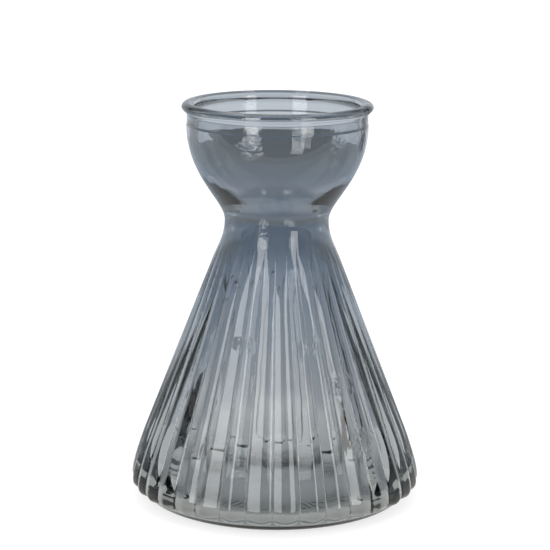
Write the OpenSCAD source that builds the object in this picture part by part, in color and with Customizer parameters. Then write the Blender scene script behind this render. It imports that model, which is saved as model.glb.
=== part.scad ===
// Hyacinth forcing vase: a cup for the bulb, a narrow waist and a wide fluted
// water chamber, all blown as one glass. Millimetres, +Z up, origin at the
// middle of the face that it stands on. Each node is one zone of the glass,
// cut where the mould or the form changes, and the zones meet face to face.

/* [Overall] */
// Height from the table to the top of the rim
height = 170; // [150:1:190]
// Height of the narrowest point of the waist
waist_height = 120.5; // [112:0.5:128]

/* [Rim and collar] */
// Width of the rounded rim, from the mouth to its outer edge
rim_width = 5.6; // [4.6:0.1:7]
// Height of the rounded rim above the collar
rim_height = 5.4; // [4.6:0.1:6.4]
// Depth of the outer edge of the rim below its top
rim_edge_drop = 2; // [1.4:0.1:2.6]
// Inside diameter of the mouth
mouth_d = 68.8; // [62:0.2:74]
// Wall of the collar between the rim and the mould line
collar_wall = 3.4; // [2.4:0.1:4.4]
// Distance from the top of the rim down to the mould line
mould_line_drop = 9.4; // [8:0.1:14]
// Step in the surface at the mould line
mould_step = 0.2; // [0.1:0.05:0.6]

/* [Bulb cup] */
// Straight inner wall under the mould line
cup_straight = 3; // [1:0.5:8]
// How far the outer curve of the cup hangs straight down from the mould line
cup_fall = 21.5; // [14:0.5:26]
// How far the outer curve rises straight up from the waist
cup_rise = 8.1; // [4:0.1:12]

/* [Waist] */
// Outside diameter at the waist
waist_d = 43.8; // [40:0.2:50]
// Inside diameter of the throat, which the roots grow through
throat_d = 34.8; // [28:0.2:38]
// Length of the straight part of the throat
throat_len = 5; // [3:0.5:7]
// Height of the waist zone, from the first trace of the flutes upwards
waist_zone = 10; // [8:0.5:12]
// How far the flutes start below the narrowest point
flute_start_drop = 5; // [4:0.5:8]

/* [Fluted body] */
// Largest outside diameter, over the crests of the flutes
body_d = 123.6; // [110:0.2:136]
// Height of the largest diameter
belly_height = 9.2; // [8:0.2:12]
// Number of flutes around the body
flute_count = 34; // [24:1:40]
// Depth of the grooves at the largest diameter
flute_depth = 1.7; // [0.6:0.1:2.4]
// Length over which the grooves fade out towards the waist
flute_runout = 30; // [15:1:50]
// Height at which the flutes end, under the largest diameter
flute_foot_height = 4.6; // [3.6:0.2:6]
// Length of the rounded lower ends of the flutes
flute_end = 3.6; // [2.4:0.2:6]
// Wall of the body under the crests of the flutes
body_wall = 4.2; // [3.2:0.1:5.5]

/* [Base] */
// Diameter of the plain disc in the middle of the base
base_d = 88; // [80:1:94]
// Thickness of the base, from the table to the floor of the water chamber
base_thickness = 4.2; // [3.4:0.1:6]
// Outside diameter of the ring that the vase stands on
foot_d = 84.8; // [74:0.2:86]
// Width of the ring that the vase stands on
foot_width = 4; // [2:0.5:7]
// Height of the hollow in the middle of the underside
punt_height = 1.4; // [0.5:0.1:2]
// Height of the heel above the table
heel_gap = 0.4; // [0.2:0.1:0.8]

/* [Hidden] */

glass = [0.43, 0.48, 0.53, 0.75];
facets = 96;
curve_steps = 16;
// How far a cut runs past what it cuts
cut = 1;

mouth_r = mouth_d / 2;
collar_r = mouth_r + collar_wall;
cup_r = collar_r + mould_step;
waist_r = waist_d / 2;
throat_r = throat_d / 2;
belly_r = body_d / 2;
base_r = base_d / 2;
foot_r = foot_d / 2;

mould_line_z = height - mould_line_drop;
rim_r = mouth_r + rim_width;
rim_seat_z = height - rim_height;
flute_top_z = waist_height - flute_start_drop;
waist_top_z = flute_top_z + waist_zone;

// How far the straight cone of the body starts above and inside the belly,
// and stops below and outside the waist
cone_rise = 22.8;
cone_inset = 6.6;
cone_drop = 17;
cone_outset = 5.1;
cone_low = [belly_r - cone_inset, belly_height + cone_rise];
cone_high = [waist_r + cone_outset, waist_height - cone_drop];
cone_dir = (cone_high - cone_low) / norm(cone_high - cone_low);
cone_inward = [-cone_dir.y, cone_dir.x];
in_low = cone_low + cone_inward * body_wall;
in_high = cone_high + cone_inward * body_wall;

// Reach of the rounded stretches along the straight lines that they join
belly_pull = 5;
under_pull = 6;
cone_low_pull = 5.3;
cone_high_pull = 7.2;
waist_pull = 7;
heel_pull = 10.3;
corner_pull = 15;
floor_pull = 9;
// How far the rounded corner of the chamber reaches in over the floor
corner_inset = 5;
// The same for the rim: out of the collar, along the outer edge and over the top
rim_seat_pull = 1.4;
rim_edge_pull = 1.2;
rim_top_pull = 1.5;
rim_inner_drop = 2.6;

// Point at t on a curve that leaves a towards b and reaches d from c
function curve_at(a, b, c, d, t) =
    pow(1 - t, 3) * a + 3 * pow(1 - t, 2) * t * b + 3 * (1 - t) * t * t * c + pow(t, 3) * d;
function curve(a, b, c, d, steps = curve_steps) =
    [for (i = [0:steps]) curve_at(a, b, c, d, i / steps)];
// The part of a line of [r, z] points between two heights
function as_table(line) = [for (p = line) [p.y, p.x]];
function radius_at(line, z) = lookup(z, as_table(line));
function between(line, low, high) = concat(
    [[radius_at(line, low), low]],
    [for (p = line) if (p.y > low + 0.01 && p.y < high - 0.01) p],
    [[radius_at(line, high), high]]);
function backwards(line) = [for (i = [len(line) - 1:-1:0]) line[i]];
function ease(t) = let (u = max(0, min(1, t))) u * u * (3 - 2 * u);

// Outside of the glass, over the crests, from the base up to the mould line
under_line = curve([base_r, heel_gap], [base_r + heel_pull, heel_gap],
    [belly_r, belly_height - under_pull], [belly_r, belly_height]);
belly_line = curve([belly_r, belly_height], [belly_r, belly_height + belly_pull],
    cone_low - cone_dir * cone_low_pull, cone_low);
body_line = concat(under_line, [for (i = [1:len(belly_line) - 1]) belly_line[i]],
    curve(cone_high, cone_high + cone_dir * cone_high_pull,
        [waist_r, waist_height - waist_pull], [waist_r, waist_height]));
cup_line = curve([waist_r, waist_height], [waist_r, waist_height + cup_rise],
    [cup_r, mould_line_z - cup_fall], [cup_r, mould_line_z], 2 * curve_steps);
outer_line = concat(body_line, [for (i = [1:len(cup_line) - 1]) cup_line[i]]);

// Inside of the glass, from the floor of the water chamber up to the mouth
floor_r = in_low.x - corner_inset;
throat_low = [throat_r, waist_height - throat_len / 2];
throat_high = [throat_r, waist_height + throat_len / 2];
cup_in_top = [mouth_r, mould_line_z - cup_straight];
inner_line = concat(
    curve([floor_r, base_thickness], [floor_r + floor_pull, base_thickness],
        in_low - cone_dir * corner_pull, in_low),
    curve(in_high, in_high + cone_dir * cone_high_pull,
        throat_low - [0, waist_pull], throat_low),
    curve(throat_high, throat_high + [0, cup_rise],
        cup_in_top - [0, cup_fall], cup_in_top, 2 * curve_steps),
    [[mouth_r, height]]);

module turned(points) {
    rotate_extrude($fn = facets) polygon(points);
}

// One plain zone of the wall, between two heights
module wall_zone(low, high) {
    turned(concat(between(outer_line, low, high), backwards(between(inner_line, low, high))));
}

// Half the width of a flute, as an angle, and the points across one flute
flute_points = 6;
ring_points = flute_count * flute_points;
// Share of the groove depth, 0 on a crest and 1 in a groove or past a flute's round end
function groove_share(i, z) =
    let (across = 2 * (i % flute_points) / flute_points - 1,
        down = max(0, 1 - (z - flute_foot_height) / flute_end))
    min(1, across * across + down * down);
// A level ring of points round the body, drawn in by the grooves
function fluted_ring(z) = let (crest = radius_at(body_line, z), depth = groove_depth(z))
    [for (i = [0:ring_points - 1])
        let (r = crest - depth * groove_share(i, z), a = 360 * i / ring_points - 90)
        [r * cos(a), r * sin(a), z]];
// Closed solid through rings of points, flat at both ends
module skin_over(rings) {
    n = ring_points;
    last = len(rings) - 1;
    sides = [for (k = [0:last - 1], i = [0:n - 1])
        let (a = k * n + i, b = k * n + (i + 1) % n) each [[a, a + n, b], [b, a + n, b + n]]];
    bottom = [[for (i = [0:n - 1]) i]];
    top = [[for (i = [n - 1:-1:0]) last * n + i]];
    polyhedron(points = [for (r = rings) each r], faces = concat(sides, bottom, top));
}

// Heights of the rings of the body, closer together where the skin bends
function steps(low, high, n) = [for (i = [0:n - 1]) low + (high - low) * i / n];
flute_full_z = flute_foot_height + flute_end;
body_heights = concat(steps(flute_foot_height, flute_full_z, 5), steps(flute_full_z, cone_low.y, 5),
    steps(cone_low.y, flute_top_z, 13), [flute_top_z]);
function groove_depth(z) = let (size = z < belly_height ? 1 : radius_at(body_line, z) / belly_r)
    flute_depth * size * ease((flute_top_z - z) / flute_runout);

// Underside of the heel, from the disc out to the bottom of the grooves
function heel_share(z) = ease((z - heel_gap) / (flute_foot_height - heel_gap));
heel_line = [for (p = between(under_line, heel_gap, flute_foot_height))
    [p.x - groove_depth(flute_foot_height) * heel_share(p.y), p.y]];

// Ring that rounds off the rim, on top of the collar: it flares out to an edge and is crowned on top
module rim_bead() {
    seat = [collar_r, rim_seat_z];
    edge = [rim_r, height - rim_edge_drop];
    crown = [mouth_r + rim_width / 2, height];
    lip = [mouth_r, height - rim_inner_drop];
    under = curve(seat, seat + [0, rim_seat_pull], edge - [0, rim_edge_pull], edge);
    over = curve(edge, edge + [0, rim_edge_pull], crown + [rim_top_pull, 0], crown);
    inside = curve(crown, crown - [rim_top_pull, 0], lip + [0, rim_edge_pull], lip);
    color(glass) turned(concat([[mouth_r, rim_seat_z]], under,
        [for (i = [1:curve_steps]) over[i]], [for (i = [1:curve_steps]) inside[i]]));
}

// Plain band between the rim and the mould line
module collar() {
    color(glass) turned([[mouth_r, mould_line_z], [collar_r, mould_line_z],
        [collar_r, rim_seat_z], [mouth_r, rim_seat_z]]);
}

// Bowl that the bulb sits in
module bulb_cup() {
    color(glass) wall_zone(waist_top_z, mould_line_z);
}

// Narrow ring that keeps the bulb out of the water
module waist() {
    color(glass) wall_zone(flute_top_z, waist_top_z);
}

// Water chamber with its convex flutes
module fluted_body() {
    color(glass) difference() {
        skin_over([for (z = body_heights) fluted_ring(z)]);
        chamber();
        if (base_thickness > flute_foot_height) disc_room();
    }
}

// Space for the water, from its floor to past the top of the body
module chamber() {
    line = between(inner_line, base_thickness, flute_top_z);
    turned(concat([[0, base_thickness]], line,
        [[line[len(line) - 1].x, flute_top_z + cut], [0, flute_top_z + cut]]));
}

// Room in the body for a base disc that stands higher than the heel
module disc_room() {
    translate([0, 0, flute_foot_height - cut])
        cylinder(r = base_r, h = base_thickness - flute_foot_height + cut, $fn = facets);
}

// Rounded underside between the ends of the flutes and the disc
module heel() {
    color(glass) difference() {
        turned(concat(heel_line, [[base_r, flute_foot_height]]));
        if (base_thickness < flute_foot_height) chamber();
    }
}

// Disc that closes the base, with the ring that it stands on
module base_disc() {
    inside = foot_r - foot_width;
    hollow = curve([0, punt_height], [inside / 2, punt_height], [inside, punt_height / 2], [inside, 0]);
    color(glass) turned(concat(hollow,
        [[foot_r, 0], [base_r, heel_gap], [base_r, base_thickness], [0, base_thickness]]));
}

rim_bead();
collar();
bulb_cup();
waist();
fluted_body();
heel();
base_disc();
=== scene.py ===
import math
import random

import bmesh
import bpy
from mathutils import Matrix, Vector, noise


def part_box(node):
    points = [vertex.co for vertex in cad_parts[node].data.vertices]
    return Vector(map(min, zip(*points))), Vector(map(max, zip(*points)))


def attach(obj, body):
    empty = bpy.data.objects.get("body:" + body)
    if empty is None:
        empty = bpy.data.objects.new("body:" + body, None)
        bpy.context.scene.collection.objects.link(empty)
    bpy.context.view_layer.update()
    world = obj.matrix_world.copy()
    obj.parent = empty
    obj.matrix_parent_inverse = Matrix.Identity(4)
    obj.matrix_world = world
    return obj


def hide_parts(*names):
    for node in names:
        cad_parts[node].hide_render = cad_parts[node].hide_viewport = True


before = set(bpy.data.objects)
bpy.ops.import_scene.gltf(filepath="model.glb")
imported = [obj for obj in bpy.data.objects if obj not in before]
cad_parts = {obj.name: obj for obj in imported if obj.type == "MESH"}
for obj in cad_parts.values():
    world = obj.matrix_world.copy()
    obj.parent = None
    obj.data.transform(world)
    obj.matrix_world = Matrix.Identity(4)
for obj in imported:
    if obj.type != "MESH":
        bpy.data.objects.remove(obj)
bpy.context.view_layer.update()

MM = 0.001
SEED = 34


def lowest(node):
    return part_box(node)[0]


def highest(node):
    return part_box(node)[1]


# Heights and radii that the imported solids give
TOP = highest("rim_bead").z
RIM_R = highest("rim_bead").x
RIM_SEAT_Z = lowest("rim_bead").z
COLLAR_R = highest("collar").x
MOULD_LINE_Z = lowest("collar").z
CUP_R = highest("bulb_cup").x
FLUTE_TOP_Z = lowest("waist").z
FLUTE_FOOT_Z = lowest("fluted_body").z
BELLY_R = highest("fluted_body").y
BASE_R = highest("base_disc").x
FLOOR_Z = highest("base_disc").z

# Sizes of the glass that the boxes don't show
RIM_WIDTH = 5.6 * MM
RIM_EDGE_DROP = 2 * MM
RIM_INNER_DROP = 2.6 * MM
MOULD_STEP_FROM = 0.25 * MM
MOULD_STEP_TO = 0.5 * MM
WAIST_R = 21.9 * MM
WAIST_Z = FLUTE_TOP_Z + 5 * MM
THROAT_R = 17.4 * MM
THROAT_LEN = 5 * MM
CUP_FALL = 21.5 * MM
CUP_RISE = 8.1 * MM
CUP_STRAIGHT = 3 * MM
BELLY_Z = 9.2 * MM
BODY_WALL = 4.2 * MM
FLUTES = 34
FLUTE_DEPTH = 1.7 * MM
FLUTE_RUNOUT = 30 * MM
FLUTE_END = 3.6 * MM
TIP_DEPTH = 2.6 * MM
HEEL_GAP = 0.4 * MM
FOOT_R = 42.4 * MM
FOOT_WIDTH = 4 * MM

# The punt is level in its middle and bends down to the ring, drawn by two pulls at shares of its radius
PUNT = 1.4 * MM
PUNT_LEVEL_PULL = 0.5
PUNT_RING_PULL = 0.8
PUNT_RING_PULL_Z = 0.6 * MM

# Shallow notches in the bearing ring: how many to a flute, and how much of each step they take
NOTCHES = 3
NOTCH_SHARE = 0.4
NOTCH_DEPTH = 0.3 * MM

# Rises and insets of the straight cone between the belly and the waist
CONE_RISE = 22.8 * MM
CONE_INSET = 6.6 * MM
CONE_DROP = 17 * MM
CONE_OUTSET = 5.1 * MM

# Reach of the rounded stretches along the lines that they join
BELLY_PULL = 5 * MM
UNDER_PULL = 6 * MM
CONE_LOW_PULL = 5.3 * MM
CONE_HIGH_PULL = 7.2 * MM
WAIST_PULL = 7 * MM
HEEL_PULL = 10.3 * MM
CORNER_PULL = 15 * MM
CORNER_INSET = 5 * MM
FLOOR_PULL = 9 * MM
RIM_SEAT_PULL = 1.4 * MM
RIM_EDGE_PULL = 1.2 * MM
RIM_TOP_PULL = 1.5 * MM


def at(r, z):
    return Vector((r, z))


def curve(a, b, c, d, steps):
    """Points on a curve that leaves a towards b and reaches d from c."""
    points = []
    for i in range(steps + 1):
        t = i / steps
        s = 1 - t
        points.append(a * s ** 3 + b * 3 * s * s * t + c * 3 * s * t * t + d * t ** 3)
    return points


def line(a, b, steps=1):
    return [a.lerp(b, i / steps) for i in range(steps + 1)]


def joined(*runs):
    """One list of points from runs that share their end points."""
    points = list(runs[0])
    for run in runs[1:]:
        points.extend(run[1:])
    return points


def ease(t):
    u = max(0.0, min(1.0, t))
    return u * u * (3 - 2 * u)


cone_low = at(BELLY_R - CONE_INSET, BELLY_Z + CONE_RISE)
cone_high = at(WAIST_R + CONE_OUTSET, WAIST_Z - CONE_DROP)
cone_dir = (cone_high - cone_low).normalized()
inward = at(-cone_dir.y, cone_dir.x)
in_low = cone_low + inward * BODY_WALL
in_high = cone_high + inward * BODY_WALL
MOUTH_R = RIM_R - RIM_WIDTH
lip = at(MOUTH_R, TOP - RIM_INNER_DROP)


def base_profile():
    """Underside, from the middle of the punt to the end of the bearing ring."""
    ring_in = FOOT_R - FOOT_WIDTH
    return joined(
        curve(at(0, PUNT), at(ring_in * PUNT_LEVEL_PULL, PUNT),
              at(ring_in * PUNT_RING_PULL, PUNT_RING_PULL_Z), at(ring_in, 0.0), steps=14),
        line(at(ring_in, 0.0), at(FOOT_R, 0.0), steps=6),
        line(at(FOOT_R, 0.0), at(BASE_R, HEEL_GAP), steps=2))


def body_profile():
    """Outside of the glass over the crests, from the base up to the mould line."""
    return joined(
        curve(at(BASE_R, HEEL_GAP), at(BASE_R + HEEL_PULL, HEEL_GAP),
              at(BELLY_R, BELLY_Z - UNDER_PULL), at(BELLY_R, BELLY_Z), steps=40),
        curve(at(BELLY_R, BELLY_Z), at(BELLY_R, BELLY_Z + BELLY_PULL),
              cone_low - cone_dir * CONE_LOW_PULL, cone_low, steps=30),
        line(cone_low, cone_high, steps=50),
        curve(cone_high, cone_high + cone_dir * CONE_HIGH_PULL,
              at(WAIST_R, WAIST_Z - WAIST_PULL), at(WAIST_R, WAIST_Z), steps=22),
        curve(at(WAIST_R, WAIST_Z), at(WAIST_R, WAIST_Z + CUP_RISE),
              at(CUP_R, MOULD_LINE_Z - CUP_FALL), at(CUP_R, MOULD_LINE_Z), steps=44))


def rim_profile():
    """Mould line and collar, then the rim: flared to its edge, crowned on top, round into the mouth."""
    step_from = at(CUP_R, MOULD_LINE_Z + MOULD_STEP_FROM)
    step_to = at(COLLAR_R, MOULD_LINE_Z + MOULD_STEP_TO)
    seat = at(COLLAR_R, RIM_SEAT_Z)
    edge = at(RIM_R, TOP - RIM_EDGE_DROP)
    crown = at(MOUTH_R + RIM_WIDTH / 2, TOP)
    return joined(
        line(at(CUP_R, MOULD_LINE_Z), step_from),
        line(step_from, step_to),
        line(step_to, seat, steps=5),
        curve(seat, seat + at(0, RIM_SEAT_PULL), edge - at(0, RIM_EDGE_PULL), edge, steps=18),
        curve(edge, edge + at(0, RIM_EDGE_PULL), crown + at(RIM_TOP_PULL, 0), crown, steps=16),
        curve(crown, crown - at(RIM_TOP_PULL, 0), lip + at(0, RIM_EDGE_PULL), lip, steps=16))


def inner_profile():
    """Inside of the glass, from the mouth down to the middle of the floor."""
    throat_low = at(THROAT_R, WAIST_Z - THROAT_LEN / 2)
    throat_high = at(THROAT_R, WAIST_Z + THROAT_LEN / 2)
    cup_top = at(MOUTH_R, MOULD_LINE_Z - CUP_STRAIGHT)
    floor_edge = at(in_low.x - CORNER_INSET, FLOOR_Z)
    return joined(
        line(lip, cup_top, steps=10),
        curve(cup_top, cup_top - at(0, CUP_FALL),
              throat_high + at(0, CUP_RISE), throat_high, steps=40),
        line(throat_high, throat_low, steps=6),
        curve(throat_low, throat_low - at(0, WAIST_PULL),
              in_high + cone_dir * CONE_HIGH_PULL, in_high, steps=18),
        line(in_high, in_low, steps=46),
        curve(in_low, in_low - cone_dir * CORNER_PULL,
              floor_edge + at(FLOOR_PULL, 0), floor_edge, steps=28),
        line(floor_edge, at(0, FLOOR_Z), steps=26))


# A flute is two nearly flat flanks that meet in a soft ridge, with tight rounds into its grooves.
# Leans are in degrees to the right, shares are parts of the flute's width. The slope is added up in
# fine steps, and the skin has fewer.
GROOVE_LEAN = 50.0
GROOVE_ROUND = 0.07
RIDGE_ROUND = 0.045
SLOPE_STEPS = 480
ACROSS_STEPS = 24
NO_WIDTH = 1e-6

# The flutes came uneven out of the mould. Each has the share where its ridge stands, the lean of its
# left flank, and those of its right flank at the ridge and at the groove. These face the front.
FRONT_FLUTES = {
    -4: (0.50, 14, 10, 20),
    -3: (0.28, 20, 7, 14),
    -2: (0.39, 15, 7, 16),
    -1: (0.60, 8, 12, 24),
    0: (0.42, 15, 1, 22),
    1: (0.62, 9, 8, 20),
    2: (0.54, 12, 6, 18),
    3: (0.50, 16, 3, 18),
}
# The others are drawn from these spans
FLUTE_SPANS = ((0.38, 0.60), (9, 16), (4, 10), (16, 22))

# The inner wall was shaped by air alone. It is a little thin in places, in long and in short waves,
# and the long ones are drawn out upwards.
THIN_LONG = 0.12 * MM
THIN_LONG_SIZE = 14 * MM
THIN_LONG_UPWARDS = 0.5
THIN_SHORT = 0.03 * MM
THIN_SHORT_SIZE = 5 * MM
THIN_MIDDLE = 0.06 * MM
NOISE_SHIFT = Vector((7.3, 3.1, 5.7))


def flute_lean(share, ridge, left, right_top, right_foot):
    """Lean of the glass at a share of the flute's width."""
    if share < ridge:
        lean = -left
    else:
        lean = right_top + (right_foot - right_top) * (share - ridge) / (1 - ridge)
    near = (share - ridge) / RIDGE_ROUND
    if abs(near) < 1:
        turn = ease((near + 1) / 2)
        lean = -left * (1 - turn) + right_top * turn
    left_edge = 1 - ease(share / GROOVE_ROUND)
    right_edge = 1 - ease((1 - share) / GROOVE_ROUND)
    return lean + (GROOVE_LEAN - abs(lean)) * (right_edge - left_edge)


def flute_shape(ridge, left, right_top, right_foot):
    """Heights across one flute, 0 in the grooves and 1 on the ridge, and its rise over its width."""
    rises = [-math.tan(math.radians(flute_lean((i + 0.5) / SLOPE_STEPS, ridge, left, right_top, right_foot)))
             for i in range(SLOPE_STEPS)]
    up = sum(r for r in rises if r > 0)
    down = -sum(r for r in rises if r < 0)
    heights = [0.0]
    for r in rises:
        heights.append(heights[-1] + (r / up if r > 0 else r / down))
    return heights, (up + down) / 2 / SLOPE_STEPS


def petal_height(heights, share, down):
    """Height at a share of a flute whose end narrows to a round tip as down goes to 1."""
    width = math.sqrt(max(0.0, 1 - down * down))
    if width < NO_WIDTH:
        return 0.0
    across = 0.5 + (share - 0.5) / width
    if across <= 0 or across >= 1:
        return 0.0
    k = across * SLOPE_STEPS
    i = int(k)
    return width * (heights[i] * (1 - k + i) + heights[min(SLOPE_STEPS, i + 1)] * (k - i))


def flute_cut(p, share, flute):
    """How far the skin lies inside the crests, at a point of the outline and a share of a flute."""
    heights, rise = flute
    down = min(1.0, max(0.0, 1 - (p.y - FLUTE_FOOT_Z) / FLUTE_END))
    fade = ease((FLUTE_TOP_Z - p.y) / FLUTE_RUNOUT)
    fade *= ease((p.y - HEEL_GAP) / (FLUTE_FOOT_Z - HEEL_GAP))
    width = 2 * math.pi / FLUTES * (p.x if p.y > BELLY_Z else BELLY_R)
    depth = (min(FLUTE_DEPTH, rise * width) * (1 - down) + TIP_DEPTH * down) * fade
    return depth * (1 - petal_height(heights, share, down))


def wander(x, y, z, size, seed):
    """Smooth random number from -1 to 1 that changes over a length of size."""
    return noise.noise(Vector((x, y, z)) / size + seed * NOISE_SHIFT)


def wall_thinning(x, y, z):
    """How much thinner the wall is here than its outline says."""
    thin = THIN_LONG * wander(x, y, z * THIN_LONG_UPWARDS, THIN_LONG_SIZE, 1)
    thin += THIN_SHORT * wander(x, y, z, THIN_SHORT_SIZE, 2)
    return max(0.0, thin + THIN_MIDDLE)


def notched(p, share):
    return FOOT_R - FOOT_WIDTH < p.x < FOOT_R and share * NOTCHES % 1 < NOTCH_SHARE


def all_flutes():
    rng = random.Random(SEED)
    flutes = [[rng.uniform(*span) for span in FLUTE_SPANS] for _ in range(FLUTES)]
    for place, flute in FRONT_FLUTES.items():
        flutes[place % FLUTES] = flute
    return [flute_shape(*flute) for flute in flutes]


def all_columns():
    """Flute, share of its width and bearing of each column; they stand closer near the grooves."""
    columns = []
    for f in range(FLUTES):
        for k in range(ACROSS_STEPS):
            share = 0.5 - 0.5 * math.cos(math.pi * k / ACROSS_STEPS)
            columns.append((f, share, (f + share) * 2 * math.pi / FLUTES - math.pi / 2))
    return columns


def glass_mesh():
    """The whole vase as one closed skin, outside and inside, as it comes out of the mould."""
    flutes, columns = all_flutes(), all_columns()
    base, body, rim, inner = base_profile(), body_profile(), rim_profile(), inner_profile()
    rows = ([("base", p) for p in base[1:-1]] + [("body", p) for p in body]
            + [("rim", p) for p in rim[1:]] + [("inner", p) for p in inner[1:-1]])
    points = [p for _, p in rows]

    mesh = bmesh.new()
    rings = []
    for k, (kind, p) in enumerate(rows):
        along = (points[min(len(points) - 1, k + 1)] - points[max(0, k - 1)]).normalized()
        outward = at(along.y, -along.x)
        ring = []
        for f, share, a in columns:
            q = p.copy()
            if kind == "body" and p.y < FLUTE_TOP_Z:
                q.x -= flute_cut(p, share, flutes[f])
            elif kind == "base" and notched(p, share):
                q.y += NOTCH_DEPTH
            elif kind == "inner":
                q -= outward * wall_thinning(p.x * math.cos(a), p.x * math.sin(a), p.y)
            ring.append(mesh.verts.new((q.x * math.cos(a), q.x * math.sin(a), q.y)))
        rings.append(ring)

    count = len(columns)
    for one, two in zip(rings, rings[1:]):
        for i in range(count):
            j = (i + 1) % count
            mesh.faces.new((one[i], one[j], two[j], two[i]))
    for ring, pole, order in ((rings[0], base[0], -1), (rings[-1], inner[-1], 1)):
        tip = mesh.verts.new((0, 0, pole.y))
        for i in range(count):
            pair = (ring[i], ring[(i + 1) % count])
            mesh.faces.new(pair[::order] + (tip,))
    data = bpy.data.meshes.new("vase_glass")
    mesh.to_mesh(data)
    mesh.free()
    data.shade_smooth()
    return data


def linear(code):
    """Linear colour from an sRGB hex colour."""
    def one(v):
        return v / 12.92 if v <= 0.04045 else ((v + 0.055) / 1.055) ** 2.4
    return tuple(one(int(code[i:i + 2], 16) / 255) for i in (1, 3, 5)) + (1.0,)


def add(tree, kind, links=(), **settings):
    """One node with its settings; links are (its socket, the node or socket that feeds it)."""
    node = tree.nodes.new(kind)
    for name, value in settings.items():
        if name.startswith("in_"):
            node.inputs[name[3:].replace("_", " ")].default_value = value
        else:
            setattr(node, name, value)
    for socket, source in links:
        tree.links.new(node.inputs[socket], getattr(source, "outputs", [source])[0])
    return node


def new_material(name):
    material = bpy.data.materials.new(name)
    material.use_nodes = True
    material.node_tree.nodes.clear()
    return material, material.node_tree


def placed(name, data, material):
    """A piece at the origin, with its material."""
    piece = bpy.data.objects.new(name, data)
    bpy.context.collection.objects.link(piece)
    piece.data.materials.append(material)
    return piece


# Soda-lime glass, mould blown and fire polished. The polish keeps its reflections sharp, the mould
# leaves a soft ripple and crinkled chill marks, and the smoky tint deepens where the wall is heavy.
# The glass is a little olive all through, and its colour coat gives the blue grey cast.
# Absorption per metre is the density times one minus the tint.
GLASS_IOR = 1.52
GLASS_DENSITY = 76.0
GLASS_TINT = "#b6b9b4"
SKIN_TINT = "#e0e3e7"
RIPPLE_SIZE = 9 * MM
RIPPLE_DEPTH = 0.05 * MM
RIPPLE_STRENGTH = 0.25
CRINKLE_SIZE = 2.4 * MM
CRINKLE_DEPTH = 1.0 * MM
CRINKLE_ROUGHNESS = 0.55
NOISE_DETAIL = 2.0


def on_glass(turn, z, r):
    """Spot on the skin: degrees to the right of the front, height and radius in mm."""
    a = math.radians(turn)
    return (r * math.sin(a) * MM, -r * math.cos(a) * MM, z * MM)


# Chill marks, where the hot glass first touched the mould. Each has its place and its reach.
CHILL_MARKS = (
    (on_glass(-16, 157, 38), 8 * MM),
    (on_glass(78, 166, 38.5), 9 * MM),
    (on_glass(72, 156, 38), 7 * MM),
    (on_glass(-14, 119, 22), 4.5 * MM),
    (on_glass(-20, 75, 38), 5 * MM),
    (on_glass(24, 74, 38), 6 * MM),
    (on_glass(38, 58, 45), 7 * MM),
    (on_glass(44, 34, 54), 8 * MM),
    (on_glass(130, 150, 37.5), 8 * MM),
    (on_glass(205, 60, 44), 9 * MM),
    (on_glass(-100, 50, 48), 9 * MM),
)


def smoked_soda_lime_glass():
    material, tree = new_material("smoked_soda_lime_glass")
    place = add(tree, "ShaderNodeTexCoord")
    on_vase = place.outputs["Object"]
    ripple = add(tree, "ShaderNodeTexNoise", in_Scale=1 / RIPPLE_SIZE, in_Detail=NOISE_DETAIL,
                 links=[("Vector", on_vase)])
    rippled = add(tree, "ShaderNodeBump", in_Strength=RIPPLE_STRENGTH, in_Distance=RIPPLE_DEPTH,
                  links=[("Height", ripple)])
    crinkle = add(tree, "ShaderNodeTexNoise", in_Scale=1 / CRINKLE_SIZE, in_Detail=NOISE_DETAIL,
                  in_Roughness=CRINKLE_ROUGHNESS, links=[("Vector", on_vase)])
    marked = None
    for spot, reach in CHILL_MARKS:
        gap = add(tree, "ShaderNodeVectorMath", operation="DISTANCE", links=[(0, on_vase)])
        gap.inputs[1].default_value = spot
        near = add(tree, "ShaderNodeMapRange", interpolation_type="SMOOTHSTEP", in_From_Min=0.0,
                   in_From_Max=reach, in_To_Min=1.0, in_To_Max=0.0, links=[("Value", gap.outputs["Value"])])
        marked = near if marked is None else add(tree, "ShaderNodeMath", operation="MAXIMUM",
                                                 links=[(0, marked), (1, near)])
    crease = add(tree, "ShaderNodeMath", operation="MULTIPLY", links=[(0, crinkle), (1, marked)])
    chilled = add(tree, "ShaderNodeBump", in_Strength=1.0, in_Distance=CRINKLE_DEPTH,
                  links=[("Height", crease), ("Normal", rippled)])
    glass = add(tree, "ShaderNodeBsdfPrincipled", in_Base_Color=linear(SKIN_TINT), in_Roughness=0.0,
                in_IOR=GLASS_IOR, in_Transmission_Weight=1.0, links=[("Normal", chilled)])
    smoke = add(tree, "ShaderNodeVolumeAbsorption", in_Density=GLASS_DENSITY, in_Color=linear(GLASS_TINT))
    add(tree, "ShaderNodeOutputMaterial", links=[("Surface", glass), ("Volume", smoke)])
    return material


vase = placed("vase_glass", glass_mesh(), smoked_soda_lime_glass())
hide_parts("rim_bead", "collar", "bulb_cup", "waist", "fluted_body", "heel", "base_disc")
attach(vase, "root")

# Camera, fitted to the outline of the vase in the photograph
CAMERA_BACK = 860.6 * MM
CAMERA_UP = 287.6 * MM
CAMERA_LEFT = 0.53 * MM
CAMERA_DOWN = math.radians(12.535)
CAMERA_ROLL = math.radians(0.456)
CAMERA_ROUND = math.radians(0.8)
SENSOR_WIDTH = 36.0
FOCAL_PIXELS = 2085.0
IMAGE_PIXELS = 550.0

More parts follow.
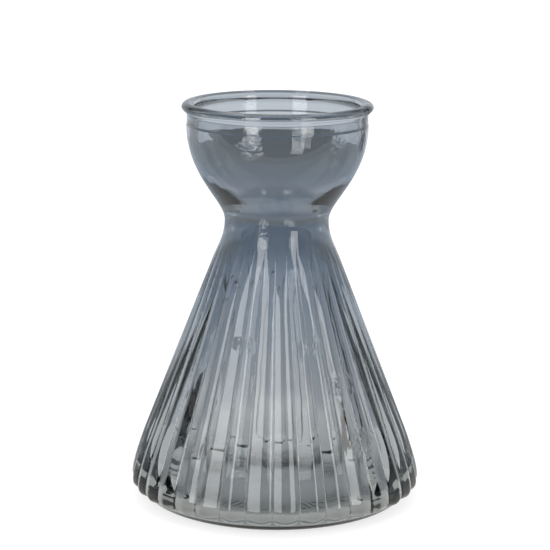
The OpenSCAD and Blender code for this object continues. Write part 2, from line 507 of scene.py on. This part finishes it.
lens = bpy.data.cameras.new("camera")
lens.sensor_width = SENSOR_WIDTH
lens.lens = FOCAL_PIXELS / IMAGE_PIXELS * SENSOR_WIDTH
camera = bpy.data.objects.new("camera", lens)
bpy.context.collection.objects.link(camera)
camera.matrix_world = (Matrix.Rotation(CAMERA_ROUND, 4, "Z")
                       @ Matrix.Translation((-CAMERA_LEFT, -CAMERA_BACK, CAMERA_UP))
                       @ Matrix.Rotation(math.radians(90) - CAMERA_DOWN, 4, "X")
                       @ Matrix.Rotation(CAMERA_ROLL, 4, "Z"))
scene = bpy.context.scene
scene.camera = camera


def graded(ramp, stops_at, length):
    """Sets a ramp to colours at distances along a length."""
    stops = ramp.color_ramp.elements
    stops.remove(stops[1])
    for i, (reach, code) in enumerate(stops_at):
        stop = stops[0] if i == 0 else stops.new(reach / length)
        stop.position = reach / length
        stop.color = linear(code)


def seen_by(tree):
    """The kinds of ray, and the share that comes off or through the glass."""
    rays = add(tree, "ShaderNodeLightPath")
    return rays, add(tree, "ShaderNodeMath", operation="MAXIMUM",
                     links=[(0, rays.outputs["Is Transmission Ray"]), (1, rays.outputs["Is Glossy Ray"])])


def sheet_mesh(name, rows):
    """A sheet through rows of points, as many in each row."""
    n = len(rows[0])
    faces = [(k * n + i, k * n + i + 1, (k + 1) * n + i + 1, (k + 1) * n + i)
             for k in range(len(rows) - 1) for i in range(n - 1)]
    data = bpy.data.meshes.new(name)
    data.from_pydata([p for row in rows for p in row], [], faces)
    return data


# The table, matt white. The camera sees it plain, with the shadow of the vase. Through the glass it
# shows a painted shadow of the vase, grey under it and dark along its ring, then white close round it and
# blue grey further off.
# Each stop is a distance from the middle of the vase in metres and the colour there.
TABLE_HALF = 3.0
TABLE_DROP = 0.05 * MM
TABLE_GREY = "#b4b4b4"
TABLE_LIFT = 0.68
TABLE_FRONT = -0.28
BEHIND_LENGTH = 2.0
# the first three stops are the vase's painted shadow on the table, grey under it and darkest along its ring
BEHIND_AND_PAINTED_SHADOW = (
    (0.025, "#c5c5c0"),
    (0.037, "#b8b8b3"),
    (0.043, "#81817c"),
    (0.050, "#d4d4d0"),
    (0.066, "#ecece8"),
    (0.09, "#fcfcf9"),
    (0.15, "#dadde1"),
    (0.30, "#c8d1db"),
    (0.46, "#bfcbd8"),
    (0.62, "#c8d0da"),
    (1.00, "#eaf0f7"),
)


def matt_white_table():
    material, tree = new_material("matt_white_table")
    rays, through_glass = seen_by(tree)
    place = add(tree, "ShaderNodeNewGeometry")
    parts = add(tree, "ShaderNodeSeparateXYZ", links=[("Vector", place.outputs["Position"])])
    flat = add(tree, "ShaderNodeCombineXYZ", links=[("X", parts.outputs["X"]), ("Y", parts.outputs["Y"])])
    away = add(tree, "ShaderNodeVectorMath", operation="LENGTH", links=[("Vector", flat)])
    share = add(tree, "ShaderNodeMath", operation="DIVIDE", links=[(0, away.outputs["Value"])])
    share.inputs[1].default_value = BEHIND_LENGTH
    # what the glass sees of the table, with the painted shadow of the vase near its middle
    ramp = add(tree, "ShaderNodeValToRGB", links=[("Fac", share)])
    graded(ramp, BEHIND_AND_PAINTED_SHADOW, BEHIND_LENGTH)
    shown = add(tree, "ShaderNodeEmission", links=[("Color", ramp.outputs["Color"])])
    lit = add(tree, "ShaderNodeBsdfDiffuse", in_Color=linear(TABLE_GREY))
    lift = add(tree, "ShaderNodeEmission", in_Strength=TABLE_LIFT)
    own = add(tree, "ShaderNodeAddShader", links=[(0, lit), (1, lift)])
    both = add(tree, "ShaderNodeMixShader", links=[(0, through_glass), (1, own), (2, shown)])
    # the table ends in front of the vase, and the glass mirrors the dark room beyond
    past_end = add(tree, "ShaderNodeMath", operation="LESS_THAN", links=[(0, parts.outputs["Y"])])
    past_end.inputs[1].default_value = TABLE_FRONT
    mirrored = add(tree, "ShaderNodeMath", operation="MULTIPLY",
                   links=[(0, past_end), (1, rays.outputs["Is Glossy Ray"])])
    gap = add(tree, "ShaderNodeBsdfTransparent")
    surface = add(tree, "ShaderNodeMixShader", links=[(0, mirrored), (1, both), (2, gap)])
    add(tree, "ShaderNodeOutputMaterial", links=[("Surface", surface)])
    return material


table_rows = [[(x, y, 0) for x in (-TABLE_HALF, TABLE_HALF)] for y in (-TABLE_HALF, TABLE_HALF)]
table = placed("table", sheet_mesh("table", table_rows), matt_white_table())
table.location.z = -TABLE_DROP


def glass_only(sheet):
    """Stage that shows through the glass and nowhere else."""
    sheet.visible_camera = False
    sheet.visible_diffuse = False
    sheet.visible_glossy = False
    sheet.visible_shadow = False


def round_vase(turn, back, z):
    """Spot at a turn from straight behind the vase, a distance from its axis."""
    return (back * math.sin(turn), back * math.cos(turn), z)


# A graded card stands close behind the vase, bent round it, and gives the cup and waist their depth with
# painted shade: it glows near white at its foot and darkens to blue grey higher up.
# It reaches further round the cup than round the foot, stands higher at its sides and sinks at its ends.
CARD_BACK = 0.10
CARD_STEPS = 60
CARD_TURN = math.radians(52)
CARD_TURN_TOP = math.radians(112)
CARD_END_FADE = math.radians(45)
CARD_RISE_FROM = math.radians(36)
CARD_HIGH = 0.147
CARD_SIDE_RISE = 0.020
CARD_END_DROP = 0.075
# Each row is a share of the card's height and how far the card turns there
CARD_ROWS = ((0.0, CARD_TURN), (0.60, CARD_TURN), (0.74, CARD_TURN_TOP), (1.0, CARD_TURN_TOP))
# Each stop is a height on the card and its painted shade there
CARD_PAINTED_SHADE = (
    (0.010, "#fdfdfa"),
    (0.020, "#dadde1"),
    (0.050, "#c8d1db"),
    (0.078, "#b5c2d3"),
    (0.096, "#8998aa"),
    (0.118, "#8a96a1"),
    (0.134, "#8e9498"),
)


def card_top(turn):
    top = CARD_HIGH + CARD_SIDE_RISE * ease((abs(turn) - CARD_RISE_FROM) / (CARD_TURN - CARD_RISE_FROM))
    return top - CARD_END_DROP * ease((abs(turn) - CARD_TURN_TOP + CARD_END_FADE) / CARD_END_FADE) ** 2


def card_mesh():
    rows = []
    for share, reach in CARD_ROWS:
        turns = [reach * (2 * i / CARD_STEPS - 1) for i in range(CARD_STEPS + 1)]
        rows.append([round_vase(turn, CARD_BACK, share * card_top(turn)) for turn in turns])
    return sheet_mesh("card", rows)


def painted_shade_card():
    material, tree = new_material("painted_shade_card")
    place = add(tree, "ShaderNodeNewGeometry")
    parts = add(tree, "ShaderNodeSeparateXYZ", links=[("Vector", place.outputs["Position"])])
    share = add(tree, "ShaderNodeMath", operation="DIVIDE", links=[(0, parts.outputs["Z"])])
    share.inputs[1].default_value = CARD_HIGH
    ramp = add(tree, "ShaderNodeValToRGB", links=[("Fac", share)])
    graded(ramp, CARD_PAINTED_SHADE, CARD_HIGH)
    # the card glows in its painted shade, for no lamp lights it
    shown = add(tree, "ShaderNodeEmission", links=[("Color", ramp.outputs["Color"])])
    add(tree, "ShaderNodeOutputMaterial", links=[("Surface", shown)])
    return material


glass_only(placed("card", card_mesh(), painted_shade_card()))

# Low white strips at both sides of the foot throw light into the heavy corners of the base
STRIP_BACK = 0.105
STRIP_HIGH = 0.045
STRIP_STEPS = 24
STRIP_FROM = math.radians(54)
STRIP_TO = math.radians(128)
STRIP_WHITE = "#e7e8e8"


def strip_mesh(side):
    turns = [side * (STRIP_FROM + (STRIP_TO - STRIP_FROM) * i / STRIP_STEPS) for i in range(STRIP_STEPS + 1)]
    rows = [[round_vase(turn, STRIP_BACK, z) for turn in turns] for z in (0.0, STRIP_HIGH)]
    return sheet_mesh("strip", rows)


def white_strip():
    material, tree = new_material("white_strip")
    shown = add(tree, "ShaderNodeEmission", in_Color=linear(STRIP_WHITE))
    add(tree, "ShaderNodeOutputMaterial", links=[("Surface", shown)])
    return material


strip_white = white_strip()
for name, side in (("strip_left", -1), ("strip_right", 1)):
    glass_only(placed(name, strip_mesh(side), strip_white))

# The room: plain white for the camera. For the glass it is dark, with a pale glow over the table's far
# end and a grey ceiling. Each stop is a rise over the horizon, from 0 to 1 overhead, and its colour.
ROOM_WHITE = "#ffffff"
ROOM_DARK = "#3f4044"
SKY = (
    (0.08, "#dde3ec"),
    (0.20, ROOM_DARK),
    (0.27, ROOM_DARK),
    (0.42, "#bcbfc2"),
)
# The glow stands high straight behind the vase and nowhere else: where it starts, is full, and its height
GLOW_FROM = 0.70
GLOW_FULL = 0.86
GLOW_HIGH = 0.5
ROOM_FRONT = -0.15


def studio():
    world = bpy.data.worlds.new("studio")
    world.use_nodes = True
    tree = world.node_tree
    tree.nodes.clear()
    rays, through_glass = seen_by(tree)
    way = add(tree, "ShaderNodeTexCoord")
    parts = add(tree, "ShaderNodeSeparateXYZ", links=[("Vector", way.outputs["Generated"])])
    raised = add(tree, "ShaderNodeMapRange", interpolation_type="SMOOTHSTEP",
                 in_From_Min=GLOW_FROM, in_From_Max=GLOW_FULL, in_To_Min=0.0, in_To_Max=GLOW_HIGH,
                 links=[("Value", parts.outputs["Y"])])
    level = add(tree, "ShaderNodeMath", operation="SUBTRACT", links=[(0, parts.outputs["Z"]), (1, raised)])
    ramp = add(tree, "ShaderNodeValToRGB", links=[("Fac", level)])
    graded(ramp, SKY, 1.0)
    glowing = add(tree, "ShaderNodeBackground", links=[("Color", ramp.outputs["Color"])])
    # what the glass mirrors from the front is dark all over
    in_front = add(tree, "ShaderNodeMath", operation="LESS_THAN", links=[(0, parts.outputs["Y"])])
    in_front.inputs[1].default_value = ROOM_FRONT
    mirrored = add(tree, "ShaderNodeMath", operation="MULTIPLY",
                   links=[(0, in_front), (1, rays.outputs["Is Glossy Ray"])])
    dark = add(tree, "ShaderNodeBackground", in_Color=linear(ROOM_DARK))
    for_glass = add(tree, "ShaderNodeMixShader", links=[(0, mirrored), (1, glowing), (2, dark)])
    plain = add(tree, "ShaderNodeBackground", in_Color=linear(ROOM_WHITE))
    room = add(tree, "ShaderNodeMixShader", links=[(0, through_glass), (1, plain), (2, for_glass)])
    add(tree, "ShaderNodeOutputWorld", links=[("Surface", room)])
    return world


scene.world = studio()

# Two upright softboxes face the vase, each with its bearing from the front, in degrees, and its width
SOFTBOXES = (("softbox_left", -31, 0.40), ("softbox_right", 39, 0.30))
SOFTBOX_AWAY = 1.1
SOFTBOX_LOW = -0.02
SOFTBOX_HIGH = 0.90
SOFTBOX_GLOW = 4.5


def softbox(name, bearing, width):
    """Lamp as bright as SOFTBOX_GLOW where the glass mirrors it."""
    lamp = bpy.data.lights.new(name, "AREA")
    lamp.shape = "RECTANGLE"
    lamp.size = width
    lamp.size_y = SOFTBOX_HIGH - SOFTBOX_LOW
    lamp.energy = SOFTBOX_GLOW * math.pi * lamp.size * lamp.size_y
    stand = bpy.data.objects.new(name, lamp)
    bpy.context.collection.objects.link(stand)
    a = math.radians(bearing)
    middle = (SOFTBOX_LOW + SOFTBOX_HIGH) / 2
    spot = Vector((SOFTBOX_AWAY * math.sin(a), -SOFTBOX_AWAY * math.cos(a), middle))
    stand.location = spot
    stand.rotation_euler = Vector((-spot.x, -spot.y, 0)).to_track_quat("-Z", "Y").to_euler()
    stand.visible_camera = False


for name, bearing, width in SOFTBOXES:
    softbox(name, bearing, width)

scene.view_settings.view_transform = "Standard"
scene.cycles.use_denoising = True
# light passes many walls of glass before it is lost
scene.cycles.max_bounces = 32
scene.cycles.transmission_bounces = 24
scene.cycles.glossy_bounces = 12
